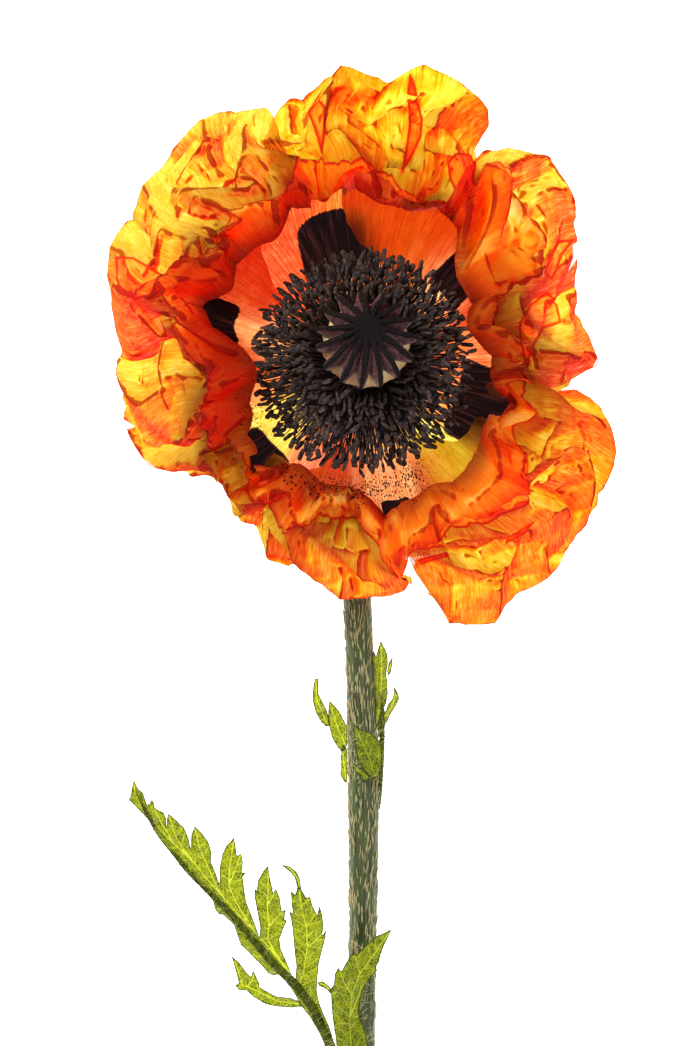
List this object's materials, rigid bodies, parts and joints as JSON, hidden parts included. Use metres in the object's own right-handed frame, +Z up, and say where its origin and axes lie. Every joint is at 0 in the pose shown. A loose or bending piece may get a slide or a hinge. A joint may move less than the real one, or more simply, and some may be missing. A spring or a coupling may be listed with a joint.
{
  "type": "poppy flower",
  "caption": "Cut oriental poppy lying on its back: crumpled orange petals, black stamens, rayed stigma disc, hairy stem and cut leaves.",
  "frame": {"origin": "centre of the footprint, on the surface that the flower lies on", "axes": "+Z up, out of the open bloom; the stem lies along -Y, towards its cut end"},
  "size_m": [0.128, 0.2636, 0.0515],
  "materials": {
    "petal_orange": "thin, matt and translucent",
    "stem_green": "matt, bristly",
    "leaf_green": "matt, hairy",
    "capsule_cream": "satin, waxy",
    "stigma_velvet": "velvety",
    "stamen_black": "powdery"
  },
  "bodies": {
    "root": {"stem": "stem_green", "petal_1": "petal_orange", "petal_2": "petal_orange", "petal_3": "petal_orange", "petal_4": "petal_orange", "petal_5": "petal_orange", "petal_6": "petal_orange", "capsule": "capsule_cream", "stigma_disc": "stigma_velvet", "stamens": "stamen_black", "leaf_upper": "leaf_green", "leaf_lower": "leaf_green"}
  },
  "joints": []
}
